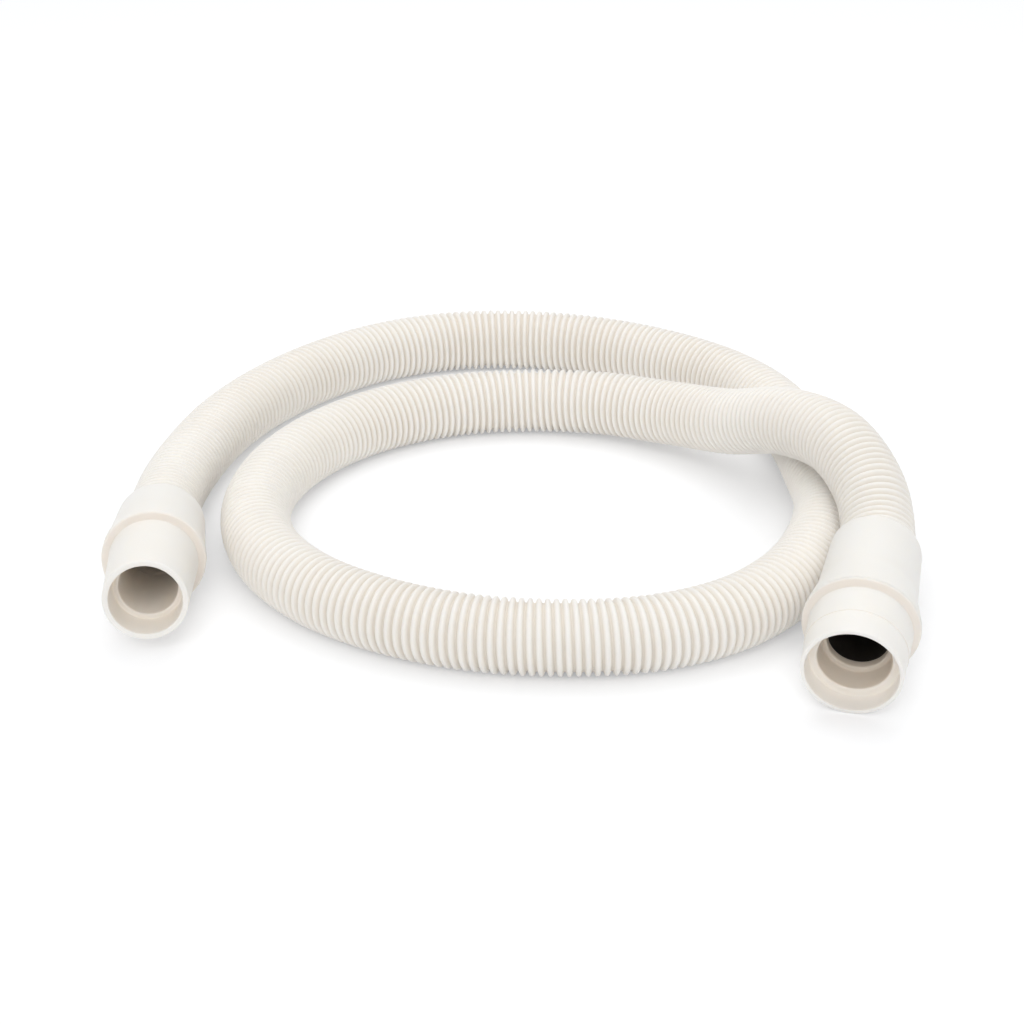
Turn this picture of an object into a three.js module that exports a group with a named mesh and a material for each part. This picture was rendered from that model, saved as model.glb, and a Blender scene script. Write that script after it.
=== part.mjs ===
// A ribbed PVC vacuum hose lying in one and a half turns, with a moulded cuff on each end.
// Millimetres, +Z up, resting on the plane z = 0.
import * as THREE from 'three';

// Hose
const HOSE_RADIUS = 20; // over the ribs, for a 40 mm hose
const HOSE_SIDES = 12;
const HOSE_STEPS = 80;

// Clearance between parts that fit into or against each other
const FIT_GAP = 0.3;
const HOSE_FIT_GAP = 0.4; // a little more around the hose

// Both cuffs
const HOSE_BORE_RADIUS = HOSE_RADIUS + HOSE_FIT_GAP; // the socket that the hose is pushed into
const CUFF_SEGMENTS = 48;
const ARC_STEPS = 3; // straight pieces in each rounded edge
const REAR_EDGE_ROUND = 3.2;
const INNER_EDGE_ROUND = 0.5;

// Small cuff, a 38 mm tool socket. Lengths run from its rear edge to its mouth.
const SMALL_LENGTH = 106;
const SMALL_HOSE_DEPTH = 38; // how far the hose goes in
const SMALL_REAR_RADIUS = 24.4;
const SMALL_BELL_RADIUS = 27.2; // where the bell meets the flange
const SMALL_FLANGE_RADIUS = 28;
const SMALL_FLANGE_BACK = 46;
const SMALL_FLANGE_FRONT = 54;
const SMALL_FLANGE_LEAN = 1.2; // how far the flange's front face leans back at its edge
const SMALL_SPOUT_ROOT_RADIUS = 23.8;
const SMALL_MOUTH_RADIUS = 22.2;
const SMALL_SOCKET_RADIUS = 19.1;
const SMALL_SOCKET_DEPTH = 17;
const SMALL_SOCKET_TAPER = 0.7; // how much narrower the socket is at its shoulder
const SMALL_BORE_RADIUS = 15.5;

// Large cuff, the socket at the machine's end
const LARGE_LENGTH = 106;
const LARGE_HOSE_DEPTH = 20;
const LARGE_REAR_RADIUS = 24.1;
const LARGE_NECK_RADIUS = 26; // where the sleeve starts to flare into the flange
const LARGE_NECK = 44;
const LARGE_FLANGE_RADIUS = 30.2;
const LARGE_FLANGE_BACK = 65;
const LARGE_FLANGE_FRONT = 70;
const LARGE_FLANGE_LEAN = 2;
const LARGE_SPOUT_ROOT_RADIUS = 26.4;
const LARGE_STEP = 89; // a fine moulded step around the spout
const LARGE_STEP_HEIGHT = 0.3;
const LARGE_MOUTH_RADIUS = 25.6;
const LARGE_SOCKET_RADIUS = 23.3;
const LARGE_SOCKET_DEPTH = 11;
const LARGE_SECOND_RADIUS = 18.6; // second, narrower step of the socket
const LARGE_SECOND_DEPTH = 25;
const LARGE_SOCKET_TAPER = 0.5;
const LARGE_LIP_RADIUS = 15.6; // lip that holds the dark sleeve in
const LARGE_LIP_THICKNESS = 5;

// Dark sleeve inside the large cuff, between the hose's end and the lip
const SLEEVE_WALL = 3.5;
const SLEEVE_SEGMENTS = 48;

// Edge roundings of the cuffs' outsides
const FLANGE_BACK_ROUND = 1;
const FLANGE_FRONT_ROUND = 1.4;
const SPOUT_ROOT_ROUND = 0.8;
const FLARE_ROUND = 40;
const FLARE_END_ROUND = 16;
const MOUTH_OUTER_ROUND = 1.2;
const MOUTH_INNER_ROUND = 0.8;

// Route of the hose's centre, from inside the small cuff round to inside the large cuff.
// It lies on the floor, and passes over itself once on its way into the large cuff.
const ROUTE = [
  [-191.7, -106.8, 27.2],
  [-195.2, -59.1, 23.8],
  [-195.5, -18, 21.4],
  [-189, 31, 20.2],
  [-176, 80, 20],
  [-154, 126, 20],
  [-124, 167, 20],
  [-86, 200, 20],
  [-40, 220, 20],
  [10, 223, 20],
  [58, 212, 20],
  [103, 188, 20],
  [141, 154, 20],
  [166, 112, 20],
  [178, 62, 20],
  [183, 12, 20],
  [184, -37, 20],
  [172, -87, 20],
  [150, -132, 20],
  [117, -167, 20],
  [75, -187, 20],
  [27, -192, 20],
  [-21, -186, 20],
  [-67, -167, 20],
  [-106, -137, 20],
  [-133, -96, 20],
  [-144, -47, 20],
  [-138, 2, 20],
  [-117, 47, 20],
  [-83, 84, 20],
  [-39, 108, 20],
  [11, 116, 20.3],
  [59, 107, 22.3],
  [100, 83, 26],
  [133, 47, 36],
  [163, 2, 55.3],
  [186, -43, 61.6],
  [198, -88, 53],
  [196.9, -127.3, 41.1],
  [189.9, -154.1, 37.2],
];

const routePoints = ROUTE.map((p) => new THREE.Vector3(...p));
const hosePath = new THREE.CatmullRomCurve3(routePoints, false, 'centripetal');

const hoseFinish = new THREE.MeshStandardMaterial({ color: 0xf3eee5, roughness: 0.5, metalness: 0 });
const cuffFinish = new THREE.MeshStandardMaterial({ color: 0xf5f1ea, roughness: 0.38, metalness: 0 });
const sleeveFinish = new THREE.MeshStandardMaterial({ color: 0x1a1715, roughness: 0.6, metalness: 0 });

// A closed outline from corners [radius, height, rounding], with an arc at each rounded corner.
function roundedOutline(corners) {
  const outline = [];
  corners.forEach((corner, i) => {
    const before = corners[(i + corners.length - 1) % corners.length];
    const after = corners[(i + 1) % corners.length];
    const here = new THREE.Vector2(corner[0], corner[1]);
    const rounding = corner[2];
    if (rounding === 0) {
      outline.push(here);
      return;
    }
    const back = new THREE.Vector2(before[0], before[1]).sub(here).normalize();
    const ahead = new THREE.Vector2(after[0], after[1]).sub(here).normalize();
    const halfAngle = Math.acos(THREE.MathUtils.clamp(back.dot(ahead), -1, 1)) / 2;
    const reach = rounding / Math.tan(halfAngle);
    const start = here.clone().addScaledVector(back, reach);
    const end = here.clone().addScaledVector(ahead, reach);
    const centre = here.clone().addScaledVector(back.clone().add(ahead).normalize(), rounding / Math.sin(halfAngle));
    const startAngle = start.clone().sub(centre).angle();
    let sweep = end.clone().sub(centre).angle() - startAngle;
    if (sweep > Math.PI) sweep -= 2 * Math.PI;
    if (sweep < -Math.PI) sweep += 2 * Math.PI;
    for (let k = 0; k <= ARC_STEPS; k++) {
      const angle = startAngle + (sweep * k) / ARC_STEPS;
      outline.push(new THREE.Vector2(Math.cos(angle), Math.sin(angle)).multiplyScalar(rounding).add(centre));
    }
  });
  outline.push(outline[0].clone());
  return outline;
}

// A ring-shaped solid turned from an outline around its own Y axis.
function turned(corners, segments) {
  return new THREE.LatheGeometry(roundedOutline(corners), segments);
}

// Frame at a hose end: its centre, and the direction out of the hose.
function hoseEnd(end, inner) {
  const out = end.clone().sub(inner).normalize();
  const turn = new THREE.Quaternion().setFromUnitVectors(new THREE.Vector3(0, 1, 0), out);
  return { centre: end, out, turn };
}

// Puts a turned piece on a hose end, with the hose reaching depth into it from its rear edge.
function seatOnHose(mesh, end, depth) {
  mesh.position.copy(end.centre).addScaledVector(end.out, -depth);
  mesh.quaternion.copy(end.turn);
  return mesh;
}

function makeHose() {
  const section = new THREE.Shape();
  for (let i = 0; i < HOSE_SIDES; i++) {
    const angle = (i / HOSE_SIDES) * 2 * Math.PI;
    const x = HOSE_RADIUS * Math.cos(angle);
    const y = HOSE_RADIUS * Math.sin(angle);
    if (i === 0) section.moveTo(x, y);
    else section.lineTo(x, y);
  }
  section.closePath();
  const geometry = new THREE.ExtrudeGeometry(section, {
    steps: HOSE_STEPS,
    bevelEnabled: false,
    extrudePath: hosePath,
  });
  const mesh = new THREE.Mesh(geometry, hoseFinish);
  mesh.name = 'hose';
  return mesh;
}

function makeSmallCuff(end) {
  const hoseStop = SMALL_HOSE_DEPTH + FIT_GAP;
  const shoulder = SMALL_LENGTH - SMALL_SOCKET_DEPTH;
  const corners = [
    [HOSE_BORE_RADIUS, 0, 0],
    [SMALL_REAR_RADIUS, 0, REAR_EDGE_ROUND],
    [SMALL_BELL_RADIUS, SMALL_FLANGE_BACK, 0],
    [SMALL_FLANGE_RADIUS, SMALL_FLANGE_BACK + FLANGE_BACK_ROUND, FLANGE_BACK_ROUND],
    [SMALL_FLANGE_RADIUS, SMALL_FLANGE_FRONT - SMALL_FLANGE_LEAN, FLANGE_FRONT_ROUND],
    [SMALL_SPOUT_ROOT_RADIUS, SMALL_FLANGE_FRONT, SPOUT_ROOT_ROUND],
    [SMALL_MOUTH_RADIUS, SMALL_LENGTH, MOUTH_OUTER_ROUND],
    [SMALL_SOCKET_RADIUS, SMALL_LENGTH, MOUTH_INNER_ROUND],
    [SMALL_SOCKET_RADIUS - SMALL_SOCKET_TAPER, shoulder, INNER_EDGE_ROUND],
    [SMALL_BORE_RADIUS, shoulder, INNER_EDGE_ROUND],
    [SMALL_BORE_RADIUS, hoseStop, 0],
    [HOSE_BORE_RADIUS, hoseStop, 0],
  ];
  const mesh = new THREE.Mesh(turned(corners, CUFF_SEGMENTS), cuffFinish);
  mesh.name = 'small_cuff';
  return seatOnHose(mesh, end, SMALL_HOSE_DEPTH);
}

const LARGE_LIP_FRONT = LARGE_LENGTH - LARGE_SECOND_DEPTH;
const LARGE_LIP_BACK = LARGE_LIP_FRONT - LARGE_LIP_THICKNESS;

function makeLargeCuff(end) {
  const shoulder = LARGE_LENGTH - LARGE_SOCKET_DEPTH;
  const stepRadius = LARGE_MOUTH_RADIUS + LARGE_STEP_HEIGHT;
  const corners = [
    [HOSE_BORE_RADIUS, 0, 0],
    [LARGE_REAR_RADIUS, 0, REAR_EDGE_ROUND],
    [LARGE_NECK_RADIUS, LARGE_NECK, FLARE_ROUND],
    [LARGE_FLANGE_RADIUS, LARGE_FLANGE_BACK, FLARE_END_ROUND],
    [LARGE_FLANGE_RADIUS, LARGE_FLANGE_FRONT - LARGE_FLANGE_LEAN, FLANGE_FRONT_ROUND],
    [LARGE_SPOUT_ROOT_RADIUS, LARGE_FLANGE_FRONT, SPOUT_ROOT_ROUND],
    [stepRadius + LARGE_STEP_HEIGHT, LARGE_STEP, 0],
    [stepRadius, LARGE_STEP + LARGE_STEP_HEIGHT, 0],
    [LARGE_MOUTH_RADIUS, LARGE_LENGTH, MOUTH_OUTER_ROUND],
    [LARGE_SOCKET_RADIUS, LARGE_LENGTH, MOUTH_INNER_ROUND],
    [LARGE_SOCKET_RADIUS - LARGE_SOCKET_TAPER, shoulder, INNER_EDGE_ROUND],
    [LARGE_SECOND_RADIUS, shoulder, INNER_EDGE_ROUND],
    [LARGE_SECOND_RADIUS - LARGE_SOCKET_TAPER, LARGE_LIP_FRONT, INNER_EDGE_ROUND],
    [LARGE_LIP_RADIUS, LARGE_LIP_FRONT, INNER_EDGE_ROUND],
    [LARGE_LIP_RADIUS, LARGE_LIP_BACK, 0],
    [HOSE_BORE_RADIUS, LARGE_LIP_BACK, 0],
  ];
  const mesh = new THREE.Mesh(turned(corners, CUFF_SEGMENTS), cuffFinish);
  mesh.name = 'large_cuff';
  return seatOnHose(mesh, end, LARGE_HOSE_DEPTH);
}

function makeInnerSleeve(end) {
  const outer = HOSE_BORE_RADIUS - FIT_GAP;
  const inner = outer - SLEEVE_WALL;
  const back = LARGE_HOSE_DEPTH + FIT_GAP;
  const front = LARGE_LIP_BACK - FIT_GAP;
  const corners = [
    [inner, back, 0],
    [outer, back, INNER_EDGE_ROUND],
    [outer, front, INNER_EDGE_ROUND],
    [inner, front, INNER_EDGE_ROUND],
  ];
  const mesh = new THREE.Mesh(turned(corners, SLEEVE_SEGMENTS), sleeveFinish);
  mesh.name = 'inner_sleeve';
  return seatOnHose(mesh, end, LARGE_HOSE_DEPTH);
}

const smallEnd = hoseEnd(routePoints[0], routePoints[1]);
const largeEnd = hoseEnd(routePoints[routePoints.length - 1], routePoints[routePoints.length - 2]);

const hoseWithCuffs = new THREE.Group();
hoseWithCuffs.add(makeHose(), makeSmallCuff(smallEnd), makeLargeCuff(largeEnd), makeInnerSleeve(largeEnd));

export default hoseWithCuffs;
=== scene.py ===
"""A ribbed PVC vacuum hose lying in one and a half turns, with a moulded cuff on each end.

Places are in metres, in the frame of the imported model: +Z up, resting on z = 0. The sizes of
the hose and the cuffs are in millimetres, and MM turns them into metres.
"""
import math

import bpy
import numpy as np
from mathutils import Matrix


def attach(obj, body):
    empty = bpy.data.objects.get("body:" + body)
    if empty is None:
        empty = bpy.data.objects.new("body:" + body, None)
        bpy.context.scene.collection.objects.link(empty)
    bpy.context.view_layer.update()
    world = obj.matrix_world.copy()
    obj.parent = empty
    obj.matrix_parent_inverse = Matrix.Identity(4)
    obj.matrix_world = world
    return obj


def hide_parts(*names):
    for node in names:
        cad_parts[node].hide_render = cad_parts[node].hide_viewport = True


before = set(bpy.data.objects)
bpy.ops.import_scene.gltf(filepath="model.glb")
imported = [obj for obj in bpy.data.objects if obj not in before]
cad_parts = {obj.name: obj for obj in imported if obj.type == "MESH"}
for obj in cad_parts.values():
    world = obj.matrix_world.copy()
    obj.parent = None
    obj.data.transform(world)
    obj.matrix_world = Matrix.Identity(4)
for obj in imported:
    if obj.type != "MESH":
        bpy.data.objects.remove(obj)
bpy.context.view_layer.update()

MM = 0.001

# Camera: in front of the hose, looking down on TARGET by ELEVATION
TARGET = (0.002, -0.046, 0.020)
ELEVATION = math.radians(26.0)
DISTANCE = 1.21675
SENSOR = 36.0
FOCAL_PX = 2130.213
IMAGE_PX = 1024
CLIP = (0.01, 100)


def make_camera():
    data = bpy.data.cameras.new("camera")
    data.sensor_width = SENSOR
    data.sensor_fit = "HORIZONTAL"
    data.lens = FOCAL_PX * SENSOR / IMAGE_PX
    data.clip_start, data.clip_end = CLIP
    camera = bpy.data.objects.new("camera", data)
    camera.location = (
        TARGET[0],
        TARGET[1] - DISTANCE * math.cos(ELEVATION),
        TARGET[2] + DISTANCE * math.sin(ELEVATION),
    )
    camera.rotation_euler = (math.pi / 2 - ELEVATION, 0, 0)
    bpy.context.scene.collection.objects.link(camera)
    bpy.context.scene.camera = camera


make_camera()

# Hose
HOSE_RADIUS = 20.0
HOSE_INNER_RADIUS = 16.0
HOSE_END_RADIUS = 17.6  # outside of the cut ends
RIB_PITCH = 4.6
END_MARGIN = 0.8  # from a cut end to the first rib
BORE_STEP = 12.0  # between the bore's rings of points
AROUND = 32  # points in a turn

# One rib along the hose: share of the pitch, and radius
RIB = (
    (0.00, 17.45),
    (0.14, 17.75),
    (0.23, 19.20),
    (0.38, 19.93),
    (0.62, 19.93),
    (0.77, 19.20),
    (0.86, 17.75),
)

# Route of the hose's centre, from inside the small cuff round to inside the large cuff
ROUTE = (
    (-0.1917, -0.1068, 0.0272),
    (-0.1952, -0.0591, 0.0238),
    (-0.1955, -0.018, 0.0214),
    (-0.189, 0.031, 0.0202),
    (-0.176, 0.080, 0.020),
    (-0.154, 0.126, 0.020),
    (-0.124, 0.167, 0.020),
    (-0.086, 0.200, 0.020),
    (-0.040, 0.220, 0.020),
    (0.010, 0.223, 0.020),
    (0.058, 0.212, 0.020),
    (0.103, 0.188, 0.020),
    (0.141, 0.154, 0.020),
    (0.166, 0.112, 0.020),
    (0.178, 0.062, 0.020),
    (0.183, 0.012, 0.020),
    (0.184, -0.037, 0.020),
    (0.172, -0.087, 0.020),
    (0.150, -0.132, 0.020),
    (0.117, -0.167, 0.020),
    (0.075, -0.187, 0.020),
    (0.027, -0.192, 0.020),
    (-0.021, -0.186, 0.020),
    (-0.067, -0.167, 0.020),
    (-0.106, -0.137, 0.020),
    (-0.133, -0.096, 0.020),
    (-0.144, -0.047, 0.020),
    (-0.138, 0.002, 0.020),
    (-0.117, 0.047, 0.020),
    (-0.083, 0.084, 0.020),
    (-0.039, 0.108, 0.020),
    (0.011, 0.116, 0.0203),
    (0.059, 0.107, 0.0223),
    (0.100, 0.083, 0.026),
    (0.133, 0.047, 0.036),
    (0.163, 0.002, 0.0553),
    (0.186, -0.043, 0.0616),
    (0.198, -0.088, 0.053),
    (0.1969, -0.1273, 0.0411),
    (0.1899, -0.1541, 0.0372),
)
SPLINE_STEPS = 160  # samples from one point of the route to the next


def spline(points, steps):
    """Centripetal Catmull-Rom curve through the points, in so many steps from each to the next."""
    p = np.asarray(points, float)
    ext = np.vstack([2 * p[0] - p[1], p, 2 * p[-1] - p[-2]])
    t = np.linspace(0, 1, steps, endpoint=False)[:, None]
    out = []
    for i in range(len(p) - 1):
        a, b, c, d = ext[i:i + 4]
        k1, k2, k3 = [np.linalg.norm(v - u) ** 0.5 for u, v in ((a, b), (b, c), (c, d))]
        m1 = ((b - a) / k1 - (c - a) / (k1 + k2) + (c - b) / k2) * k2
        m2 = ((c - b) / k2 - (d - b) / (k2 + k3) + (d - c) / k3) * k2
        cubic = 2 * b - 2 * c + m1 + m2
        square = -3 * b + 3 * c - 2 * m1 - m2
        out.append(b + m1 * t + square * t ** 2 + cubic * t ** 3)
    out.append(p[-1:])
    return np.vstack(out)


class Centreline:
    """The route as a smooth curve, read by the length s along it. Its frame doesn't twist."""

    def __init__(self, points):
        self.c = spline(points, SPLINE_STEPS)
        steps = np.linalg.norm(np.diff(self.c, axis=0), axis=1)
        self.s = np.concatenate([[0], np.cumsum(steps)])
        self.length = self.s[-1]
        tangent = np.gradient(self.c, self.s, axis=0)
        tangent /= np.linalg.norm(tangent, axis=1)[:, None]
        side = np.cross(tangent[0], (0, 0, 1.0))
        side /= np.linalg.norm(side)
        sides = [side]
        for t in tangent[1:]:
            side = sides[-1] - t * np.dot(sides[-1], t)
            sides.append(side / np.linalg.norm(side))
        self.u = np.array(sides)
        self.v = np.cross(tangent, self.u)

    def _read(self, table, s):
        return np.stack([np.interp(s, self.s, table[:, k]) for k in range(3)], axis=-1)

    def centre(self, s):
        return self._read(self.c, s)

    def point(self, s, angle, radius):
        u = self._read(self.u, s)
        v = self._read(self.v, s)
        around = np.cos(angle)[..., None] * u + np.sin(angle)[..., None] * v
        return self.centre(s) + np.asarray(radius)[..., None] * around


line = Centreline(ROUTE)


def make_object(name, verts, faces, material, attribute_name, values):
    """A smooth mesh object, with a number on each point that its material reads."""
    mesh = bpy.data.meshes.new(name)
    mesh.from_pydata([tuple(v) for v in verts], [], faces)
    mesh.validate()
    attribute = mesh.attributes.new(attribute_name, "FLOAT", "POINT")
    attribute.data.foreach_set("value", np.asarray(values, np.float32))
    mesh.polygons.foreach_set("use_smooth", [True] * len(mesh.polygons))
    mesh.materials.append(material)
    mesh.update()
    obj = bpy.data.objects.new(name, mesh)
    bpy.context.scene.collection.objects.link(obj)
    return obj


# Materials

# Heights on the hose's ribs, kept in the mesh for hose_material, which darkens the grooves with
# painted shade
GROOVE = 0.0
RIB_SIDE = 0.5
CREST = 1.0

# Painted tones of the cuffs' faces, kept in the mesh for cuff_material: painted shade on the flange
# faces, the spout's fine step and deep in the large cuff, and painted light in the bores
OUTSIDE = 0.0
FLANGE_FACE = 0.3
BORE = 0.7
DEEP_BORE = 1.0

CLOUD_DETAIL = 3
BUMP_DETAIL = 2


def noise(tree, coords, scale, detail):
    made = tree.nodes.new("ShaderNodeTexNoise")
    made.inputs["Scale"].default_value = scale
    made.inputs["Detail"].default_value = detail
    tree.links.new(coords, made.inputs["Vector"])
    return made.outputs["Fac"]


def ramp(tree, fac, stops):
    made = tree.nodes.new("ShaderNodeValToRGB")
    elements = made.color_ramp.elements
    while len(elements) < len(stops):
        elements.new(0.5)
    for element, (position, colour) in zip(elements, stops):
        element.position = position
        element.color = (*colour, 1)
    tree.links.new(fac, made.inputs["Fac"])
    return made.outputs["Color"]


def span(tree, fac, low, high):
    """Scales a 0 to 1 value to run from low to high, which are numbers or outputs."""
    made = tree.nodes.new("ShaderNodeMapRange")
    for value, name in ((low, "To Min"), (high, "To Max")):
        if isinstance(value, bpy.types.NodeSocket):
            tree.links.new(value, made.inputs[name])
        else:
            made.inputs[name].default_value = value
    tree.links.new(fac, made.inputs["Value"])
    return made.outputs["Result"]


def bump(tree, height, distance, strength, normal):
    made = tree.nodes.new("ShaderNodeBump")
    made.inputs["Distance"].default_value = distance
    made.inputs["Strength"].default_value = strength
    tree.links.new(height, made.inputs["Height"])
    if normal is not None:
        tree.links.new(normal, made.inputs["Normal"])
    return made.outputs["Normal"]


def new_material(name):
    material = bpy.data.materials.new(name)
    material.use_nodes = True
    tree = material.node_tree
    return material, tree, tree.nodes["Principled BSDF"]


def object_coords(tree):
    return tree.nodes.new("ShaderNodeTexCoord").outputs["Object"]


def translucent(shader, weight, depth):
    """Light that gets through the wall of pale PVC, a little warmer than what falls on it."""
    shader.inputs["Subsurface Weight"].default_value = weight
    shader.inputs["Subsurface Radius"].default_value = (1.0, 0.93, 0.82)
    shader.inputs["Subsurface Scale"].default_value = depth


def clouded(tree, coords, scale, attribute_name, stops):
    """A colour that follows the mesh's attribute, which holds the painted shade and painted light,
    with soft clouds in the plastic.
    """
    attribute = tree.nodes.new("ShaderNodeAttribute")
    attribute.attribute_name = attribute_name
    clouds = ramp(tree, noise(tree, coords, scale, CLOUD_DETAIL), (
        (0.35, (0.97, 0.963, 0.952)),
        (0.65, (1.0, 1.0, 1.0)),
    ))
    colour = tree.nodes.new("ShaderNodeMix")
    colour.data_type = "RGBA"
    colour.blend_type = "MULTIPLY"
    colour.inputs[0].default_value = 1.0
    tree.links.new(ramp(tree, attribute.outputs["Fac"], stops), colour.inputs[6])
    tree.links.new(clouds, colour.inputs[7])
    return colour.outputs[2]


def link_surface(tree, shader, coords, colour, roughness, bumps):
    """Links the colour, a roughness that varies over the surface, and layers of bump.

    roughness is (noise scale, low, high). Each of bumps is (noise scale, height, strength).
    """
    tree.links.new(colour, shader.inputs["Base Color"])
    scale, low, high = roughness
    rough = span(tree, noise(tree, coords, scale, CLOUD_DETAIL), low, high)
    tree.links.new(rough, shader.inputs["Roughness"])
    normal = None
    for scale, height, strength in bumps:
        normal = bump(tree, noise(tree, coords, scale, BUMP_DETAIL), height, strength, normal)
    tree.links.new(normal, shader.inputs["Normal"])


def hose_material():
    material, tree, shader = new_material("hose_pvc")
    coords = object_coords(tree)
    translucent(shader, weight=0.25, depth=0.003)
    # Painted shade: the grooves, the cut ends and the bore are darker and warmer than the crests
    colour = clouded(tree, coords, 14, "rib", (
        (GROOVE, (0.80, 0.745, 0.67)),
        (RIB_SIDE, (0.905, 0.865, 0.805)),
        (CREST, (0.945, 0.915, 0.87)),
    ))
    bumps = ((1500, 0.0001, 0.35), (90, 0.0006, 0.25))
    link_surface(tree, shader, coords, colour, roughness=(120, 0.40, 0.56), bumps=bumps)
    return material


def cuff_material():
    material, tree, shader = new_material("cuff_pvc")
    coords = object_coords(tree)
    translucent(shader, weight=0.5, depth=0.005)
    shader.inputs["Specular IOR Level"].default_value = 0.35
    colour = clouded(tree, coords, 11, "painted_tone", (
        # Painted tones: the flange face and the deep bore are darkened with painted shade, and the
        # bore is lightened and warmed with painted light
        (OUTSIDE, (0.965, 0.93, 0.885)),
        (FLANGE_FACE, (0.895, 0.835, 0.77)),
        (BORE, (0.985, 0.918, 0.854)),
        (DEEP_BORE, (0.82, 0.75, 0.66)),
    ))
    bumps = ((1800, 0.00008, 0.3), (45, 0.0008, 0.2))
    link_surface(tree, shader, coords, colour, roughness=(70, 0.34, 0.46), bumps=bumps)
    return material


def sleeve_material():
    material, tree, shader = new_material("sleeve_black")
    coords = object_coords(tree)
    colour = ramp(tree, noise(tree, coords, 60, CLOUD_DETAIL), (
        (0.3, (0.014, 0.012, 0.010)),
        (0.7, (0.030, 0.027, 0.023)),
    ))
    bumps = ((1200, 0.0001, 0.5),)
    link_surface(tree, shader, coords, colour, roughness=(200, 0.5, 0.7), bumps=bumps)
    return material


# The hose

def hose_mesh():
    """Points, faces and rib heights of the whole hose, closed at both ends.

    The outside is a helix. A row of points climbs by one pitch in its turn, so its last point
    meets the first point of the row that lies one rib further along.
    """
    per_rib = len(RIB)
    pitch = RIB_PITCH * MM
    start = END_MARGIN * MM
    ribs = int((line.length - 2 * start) / pitch) - 1
    shares = np.array([share for share, radius in RIB])
    radii = np.array([radius for share, radius in RIB]) * MM
    rows = ribs * per_rib + 1
    k = np.arange(rows)
    turn = np.arange(AROUND) / AROUND
    row_start = start + (k // per_rib + shares[k % per_rib]) * pitch
    s = row_start[:, None] + turn[None, :] * pitch
    angle = np.broadcast_to(turn * 2 * math.pi, s.shape)
    radius = np.broadcast_to(radii[k % per_rib][:, None], s.shape)
    verts = [line.point(s, angle, radius).reshape(-1, 3)]
    low, high = radii.min(), radii.max()
    heights = [((radius - low) / (high - low)).reshape(-1)]

    # Rings of points: both cut ends of the outside, then the bore
    bore_count = int(line.length / (BORE_STEP * MM)) + 1
    ring_s = [0.0, line.length] + list(np.linspace(0, line.length, bore_count))
    ring_radius = [HOSE_END_RADIUS] * 2 + [HOSE_INNER_RADIUS] * bore_count
    for at, r in zip(ring_s, ring_radius):
        circle = np.full(AROUND, r * MM)
        verts.append(line.point(np.full(AROUND, at), turn * 2 * math.pi, circle))
        # The cut ends and the bore take the grooves' painted shade
        heights.append(np.full(AROUND, GROOVE))
    near_end, far_end, first_bore, last_bore = 0, 1, 2, 1 + bore_count

    def index(row, column):
        return row * AROUND + column

    def ring(number, column):
        return (rows + number) * AROUND + column % AROUND

    faces = []

    def band(here, a, ahead, b, columns):
        """Faces from row a to row b, with their points numbered by here and by ahead."""
        for j in columns:
            faces.append((here(a, j), here(a, j + 1), ahead(b, j + 1), ahead(b, j)))

    def fan(tip, edge):
        for a, b in zip(edge, edge[1:]):
            faces.append((tip, a, b))

    seam = AROUND - 1
    last = rows - 1
    for row in range(last):
        band(index, row, index, row + 1, range(seam))
        over = row + per_rib
        if over < last:
            corners = (index(row, seam), index(over, 0), index(over + 1, 0), index(row + 1, seam))
            faces.append(corners)

    # From the helix to the rings at the cut ends
    band(ring, near_end, index, 0, range(seam))
    band(index, last, ring, far_end, range(seam))
    climb = [index(row, 0) for row in range(per_rib + 1)]
    fan(ring(near_end, seam), [ring(near_end, 0)] + climb + [index(0, seam)])
    descent = [index(last - back, seam) for back in range(per_rib + 1)]
    fan(ring(far_end, 0), [ring(far_end, seam)] + descent + [index(last, 0)])

    # From the cut ends into the bore, whose faces look inward
    band(ring, first_bore, ring, near_end, range(AROUND))
    band(ring, far_end, ring, last_bore, range(AROUND))
    for number in range(first_bore, last_bore):
        band(ring, number + 1, ring, number, range(AROUND))
    return np.vstack(verts), faces, np.concatenate(heights)


def make_hose(material):
    verts, faces, heights = hose_mesh()
    hose = make_object("hose_ribbed", verts, faces, material, "rib", heights)
    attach(hose, "root")
    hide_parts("hose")


make_hose(hose_material())

# Turned pieces

SEGMENTS = 160
ARC_STEPS = 7
SUPPORT = 0.35  # from each arc to a row of points beside it, which keeps the flat faces flat


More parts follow.
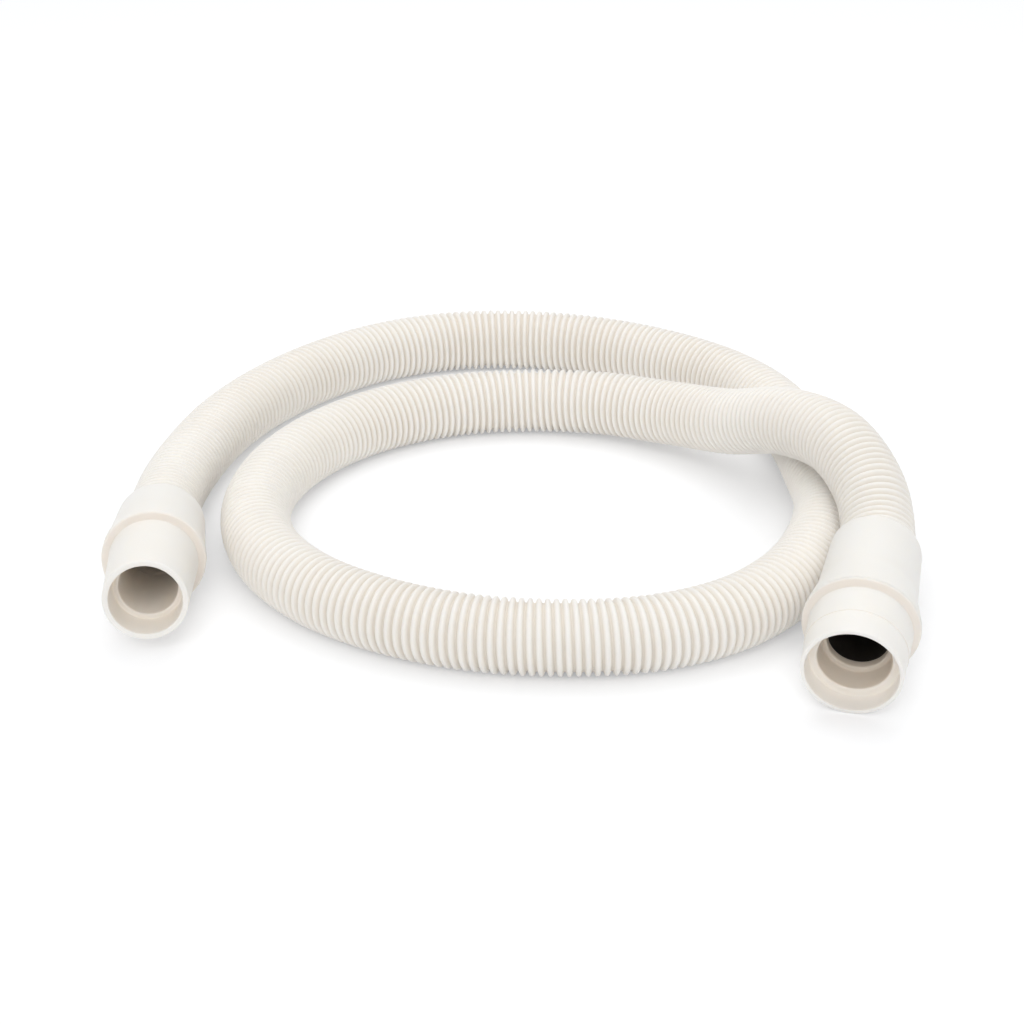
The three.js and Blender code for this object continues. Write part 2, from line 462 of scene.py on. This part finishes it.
def rounded_outline(corners):
    """A closed outline from corners (radius, height, rounding, painted tone), with an arc at each
    corner.

    A corner's painted tone (painted shade or light) is that of the face ahead of it. Gives the
    points, and the painted tone of each.
    """
    count = len(corners)
    outline = []
    painted_tones = []
    for i, (r, y, rounding, painted_tone) in enumerate(corners):
        painted_tone_back = corners[i - 1][3]
        here = np.array((r, y), float)
        back = np.array(corners[i - 1][:2], float) - here
        ahead = np.array(corners[(i + 1) % count][:2], float) - here
        reach_back = np.linalg.norm(back)
        reach_ahead = np.linalg.norm(ahead)
        back /= reach_back
        ahead /= reach_ahead
        half = math.acos(np.clip(np.dot(back, ahead), -1, 1)) / 2
        reach = rounding / math.tan(half)
        middle = (back + ahead) / np.linalg.norm(back + ahead)
        centre = here + middle * rounding / math.sin(half)
        first = here + back * reach - centre
        final = here + ahead * reach - centre
        begin = math.atan2(first[1], first[0])
        sweep = math.atan2(final[1], final[0]) - begin
        sweep = (sweep + math.pi) % (2 * math.pi) - math.pi
        if reach_back > reach + 3 * SUPPORT:
            outline.append(here + back * (reach + SUPPORT))
            painted_tones.append(painted_tone_back)
        for k in range(ARC_STEPS + 1):
            share = k / ARC_STEPS
            at = begin + sweep * share
            outline.append(centre + rounding * np.array((math.cos(at), math.sin(at))))
            painted_tones.append(painted_tone_back + (painted_tone - painted_tone_back) * share)
        if reach_ahead > reach + 3 * SUPPORT:
            outline.append(here + ahead * (reach + SUPPORT))
            painted_tones.append(painted_tone)
    return np.array(outline), np.array(painted_tones)


def hose_end(end, inner):
    """The centre of one of the hose's ends, and the direction that points out of it."""
    out = np.subtract(end, inner)
    return np.array(end), out / np.linalg.norm(out)


def turned(name, corners, place, depth, material):
    """A ring-shaped solid on the hose's end at place, with the hose reaching depth into it."""
    end, out = place
    outline, painted_tones = rounded_outline(corners)
    outline *= MM
    side = np.cross(out, (0, 0, 1.0))
    side /= np.linalg.norm(side)
    up = np.cross(side, out)
    angle = np.arange(SEGMENTS) / SEGMENTS * 2 * math.pi
    around = np.cos(angle)[:, None] * side + np.sin(angle)[:, None] * up
    base = end - out * depth * MM
    count = len(outline)
    verts = base + outline[None, :, 1, None] * out + outline[None, :, 0, None] * around[:, None, :]
    faces = []
    for i in range(SEGMENTS):
        a = i * count
        b = (i + 1) % SEGMENTS * count
        for k in range(count):
            n = (k + 1) % count
            faces.append((a + k, a + n, b + n, b + k))
    values = np.tile(painted_tones, SEGMENTS)
    piece = make_object(name, verts.reshape(-1, 3), faces, material, "painted_tone", values)
    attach(piece, "root")
    return piece


# Clearance between pieces that fit into or against each other
FIT_GAP = 0.3
HOSE_FIT_GAP = 0.4  # a little more around the hose
HOSE_BORE_RADIUS = HOSE_RADIUS + HOSE_FIT_GAP

# Edge roundings
REAR_EDGE_ROUND = 3.2
REAR_INNER_ROUND = 0.2
INNER_EDGE_ROUND = 0.9
HIDDEN_EDGE_ROUND = 0.1
BELL_END_ROUND = 0.4
FLANGE_BACK_ROUND = 1.0
FLANGE_FRONT_ROUND = 1.4
SPOUT_ROOT_ROUND = 0.8
FLARE_ROUND = 40.0
FLARE_END_ROUND = 16.0
STEP_ROUND = 0.12
MOUTH_OUTER_ROUND = 0.7
MOUTH_INNER_ROUND = 0.4

# Small cuff. Lengths run from its rear edge to its mouth.
SMALL_LENGTH = 106.0
SMALL_HOSE_DEPTH = 38.0
SMALL_REAR_RADIUS = 24.4
SMALL_BELL_RADIUS = 27.2  # where the bell meets the flange
SMALL_FLANGE_RADIUS = 28.0
SMALL_FLANGE_BACK = 46.0
SMALL_FLANGE_FRONT = 54.0
SMALL_FLANGE_LEAN = 1.2  # how far the flange's front face leans back at its edge
SMALL_SPOUT_ROOT_RADIUS = 23.8
SMALL_MOUTH_RADIUS = 22.2
SMALL_SOCKET_RADIUS = 19.1
SMALL_SOCKET_DEPTH = 17.0
SMALL_SOCKET_TAPER = 0.7  # how much narrower the socket is at its shoulder
SMALL_BORE_RADIUS = 15.5

# Large cuff, the socket at the machine's end
LARGE_LENGTH = 106.0
LARGE_HOSE_DEPTH = 20.0
LARGE_REAR_RADIUS = 24.1
LARGE_NECK_RADIUS = 26.0  # where the sleeve starts to flare into the flange
LARGE_NECK = 44.0
LARGE_FLANGE_RADIUS = 30.2
LARGE_FLANGE_BACK = 65.0
LARGE_FLANGE_FRONT = 70.0
LARGE_FLANGE_LEAN = 2.0
LARGE_SPOUT_ROOT_RADIUS = 26.4
LARGE_STEP = 89.0  # a fine moulded step around the spout
LARGE_STEP_HEIGHT = 0.3
LARGE_MOUTH_RADIUS = 25.6
LARGE_SOCKET_RADIUS = 23.3
LARGE_SOCKET_DEPTH = 11.0
LARGE_SECOND_RADIUS = 18.6  # second, narrower step of the socket
LARGE_SECOND_DEPTH = 25.0
LARGE_SOCKET_TAPER = 0.5
LARGE_LIP_RADIUS = 15.6  # lip that holds the dark sleeve in
LARGE_LIP_THICKNESS = 5.0
LARGE_LIP_FRONT = LARGE_LENGTH - LARGE_SECOND_DEPTH
LARGE_LIP_BACK = LARGE_LIP_FRONT - LARGE_LIP_THICKNESS

# Dark sleeve inside the large cuff, between the hose's end and the lip
SLEEVE_WALL = 3.5


def make_small_cuff(place, material):
    stop = SMALL_HOSE_DEPTH + FIT_GAP
    shoulder = SMALL_LENGTH - SMALL_SOCKET_DEPTH
    flange_edge = SMALL_FLANGE_FRONT - SMALL_FLANGE_LEAN
    corners = (
        (HOSE_BORE_RADIUS, 0, REAR_INNER_ROUND, OUTSIDE),
        (SMALL_REAR_RADIUS, 0, REAR_EDGE_ROUND, OUTSIDE),
        (SMALL_BELL_RADIUS, SMALL_FLANGE_BACK, BELL_END_ROUND, OUTSIDE),
        (SMALL_FLANGE_RADIUS, SMALL_FLANGE_BACK + FLANGE_BACK_ROUND, FLANGE_BACK_ROUND, OUTSIDE),
        (SMALL_FLANGE_RADIUS, flange_edge, FLANGE_FRONT_ROUND, FLANGE_FACE),
        (SMALL_SPOUT_ROOT_RADIUS, SMALL_FLANGE_FRONT, SPOUT_ROOT_ROUND, OUTSIDE),
        (SMALL_MOUTH_RADIUS, SMALL_LENGTH, MOUTH_OUTER_ROUND, OUTSIDE),
        (SMALL_SOCKET_RADIUS, SMALL_LENGTH, MOUTH_INNER_ROUND, BORE),
        (SMALL_SOCKET_RADIUS - SMALL_SOCKET_TAPER, shoulder, INNER_EDGE_ROUND, BORE),
        (SMALL_BORE_RADIUS, shoulder, INNER_EDGE_ROUND, BORE),
        (SMALL_BORE_RADIUS, stop, HIDDEN_EDGE_ROUND, BORE),
        (HOSE_BORE_RADIUS, stop, HIDDEN_EDGE_ROUND, BORE),
    )
    piece = turned("small_cuff_moulded", corners, place, SMALL_HOSE_DEPTH, material)
    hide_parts("small_cuff")


def make_large_cuff(place, material):
    shoulder = LARGE_LENGTH - LARGE_SOCKET_DEPTH
    flange_edge = LARGE_FLANGE_FRONT - LARGE_FLANGE_LEAN
    step_radius = LARGE_MOUTH_RADIUS + LARGE_STEP_HEIGHT
    second_end_radius = LARGE_SECOND_RADIUS - LARGE_SOCKET_TAPER
    corners = (
        (HOSE_BORE_RADIUS, 0, REAR_INNER_ROUND, OUTSIDE),
        (LARGE_REAR_RADIUS, 0, REAR_EDGE_ROUND, OUTSIDE),
        (LARGE_NECK_RADIUS, LARGE_NECK, FLARE_ROUND, OUTSIDE),
        (LARGE_FLANGE_RADIUS, LARGE_FLANGE_BACK, FLARE_END_ROUND, OUTSIDE),
        (LARGE_FLANGE_RADIUS, flange_edge, FLANGE_FRONT_ROUND, FLANGE_FACE),
        (LARGE_SPOUT_ROOT_RADIUS, LARGE_FLANGE_FRONT, SPOUT_ROOT_ROUND, OUTSIDE),
        # The fine step's face takes the flange face's painted shade
        (step_radius + LARGE_STEP_HEIGHT, LARGE_STEP, STEP_ROUND, FLANGE_FACE),
        (step_radius, LARGE_STEP + LARGE_STEP_HEIGHT, STEP_ROUND, OUTSIDE),
        (LARGE_MOUTH_RADIUS, LARGE_LENGTH, MOUTH_OUTER_ROUND, OUTSIDE),
        (LARGE_SOCKET_RADIUS, LARGE_LENGTH, MOUTH_INNER_ROUND, BORE),
        (LARGE_SOCKET_RADIUS - LARGE_SOCKET_TAPER, shoulder, INNER_EDGE_ROUND, BORE),
        (LARGE_SECOND_RADIUS, shoulder, INNER_EDGE_ROUND, DEEP_BORE),
        (second_end_radius, LARGE_LIP_FRONT, INNER_EDGE_ROUND, DEEP_BORE),
        (LARGE_LIP_RADIUS, LARGE_LIP_FRONT, INNER_EDGE_ROUND, DEEP_BORE),
        (LARGE_LIP_RADIUS, LARGE_LIP_BACK, HIDDEN_EDGE_ROUND, DEEP_BORE),
        (HOSE_BORE_RADIUS, LARGE_LIP_BACK, HIDDEN_EDGE_ROUND, DEEP_BORE),
    )
    piece = turned("large_cuff_moulded", corners, place, LARGE_HOSE_DEPTH, material)
    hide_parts("large_cuff")


def make_inner_sleeve(place, material):
    outer = HOSE_BORE_RADIUS - FIT_GAP
    inner = outer - SLEEVE_WALL
    back = LARGE_HOSE_DEPTH + FIT_GAP
    front = LARGE_LIP_BACK - FIT_GAP
    around = ((inner, back), (outer, back), (outer, front), (inner, front))
    corners = [(r, y, INNER_EDGE_ROUND, OUTSIDE) for r, y in around]
    piece = turned("sleeve_dark", corners, place, LARGE_HOSE_DEPTH, material)
    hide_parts("inner_sleeve")


small_place = hose_end(ROUTE[0], ROUTE[1])
large_place = hose_end(ROUTE[-1], ROUTE[-2])
cuff_pvc = cuff_material()
make_small_cuff(small_place, cuff_pvc)
make_large_cuff(large_place, cuff_pvc)
make_inner_sleeve(large_place, sleeve_material())

# Floor, background and light

FLOOR_SIZE = 3.2
FLOOR_SEEN = 0.82
FLOOR_BOUNCE = 0.88
FLOOR_ROUGHNESS = 0.9
FLOOR_GLOW_COLOUR = (0.92, 0.95, 1.0)
FLOOR_GLOW_SEEN = 0.27
FLOOR_GLOW = 0.10
HORIZON_LIGHT = 0.18
OVERHEAD_LIGHT = 1.03


def seen_or_lighting(tree, seen, lighting):
    """seen where the camera, a reflection or glass looks straight at it, and lighting elsewhere."""
    rays = tree.nodes.new("ShaderNodeLightPath").outputs
    looked_at = rays["Is Camera Ray"]
    for name in ("Is Glossy Ray", "Is Transmission Ray"):
        either = tree.nodes.new("ShaderNodeMath")
        either.operation = "MAXIMUM"
        tree.links.new(looked_at, either.inputs[0])
        tree.links.new(rays[name], either.inputs[1])
        looked_at = either.outputs[0]
    return span(tree, looked_at, lighting, seen)


def make_floor():
    half = FLOOR_SIZE / 2
    mesh = bpy.data.meshes.new("floor")
    corners = [(-half, -half, 0), (half, -half, 0), (half, half, 0), (-half, half, 0)]
    mesh.from_pydata(corners, [], [(0, 1, 2, 3)])
    floor = bpy.data.objects.new("floor", mesh)
    bpy.context.scene.collection.objects.link(floor)
    material, tree, shader = new_material("floor_white")
    colour = seen_or_lighting(tree, FLOOR_SEEN, FLOOR_BOUNCE)
    tree.links.new(colour, shader.inputs["Base Color"])
    shader.inputs["Roughness"].default_value = FLOOR_ROUGHNESS
    shader.inputs["Specular IOR Level"].default_value = 0.0
    shader.inputs["Emission Color"].default_value = (*FLOOR_GLOW_COLOUR, 1)
    glow = seen_or_lighting(tree, FLOOR_GLOW_SEEN, FLOOR_GLOW)
    tree.links.new(glow, shader.inputs["Emission Strength"])
    mesh.materials.append(material)


def make_world():
    """A white room that is brighter overhead than at the horizon."""
    world = bpy.data.worlds.new("world")
    world.use_nodes = True
    tree = world.node_tree
    background = tree.nodes["Background"]
    background.inputs["Color"].default_value = (1, 1, 1, 1)
    direction = tree.nodes.new("ShaderNodeTexCoord").outputs["Generated"]
    parts = tree.nodes.new("ShaderNodeSeparateXYZ")
    tree.links.new(direction, parts.inputs[0])
    light = span(tree, parts.outputs["Z"], HORIZON_LIGHT, OVERHEAD_LIGHT)
    strength = seen_or_lighting(tree, 1.0, light)
    tree.links.new(strength, background.inputs["Strength"])
    bpy.context.scene.world = world


def make_lamp(name, place, aim, size, power):
    """A round area lamp at place that faces aim."""
    data = bpy.data.lights.new(name, "AREA")
    data.shape = "DISK"
    data.size = size
    data.energy = power
    lamp = bpy.data.objects.new(name, data)
    lamp.location = place
    away = np.subtract(aim, place)
    flat = math.hypot(away[0], away[1])
    heading = math.atan2(away[1], away[0]) - math.pi / 2
    lamp.rotation_euler = (math.atan2(flat, -away[2]), 0, heading)
    bpy.context.scene.collection.objects.link(lamp)


make_floor()
make_world()
make_lamp("key", place=(-0.8, -7.9, 6.8), aim=(0, 0, 0), size=6.0, power=262)
make_lamp("top", place=(0, 0.4, 1.3), aim=(0, 0.1, 0), size=1.2, power=2.6)

bpy.context.scene.view_settings.view_transform = "Standard"
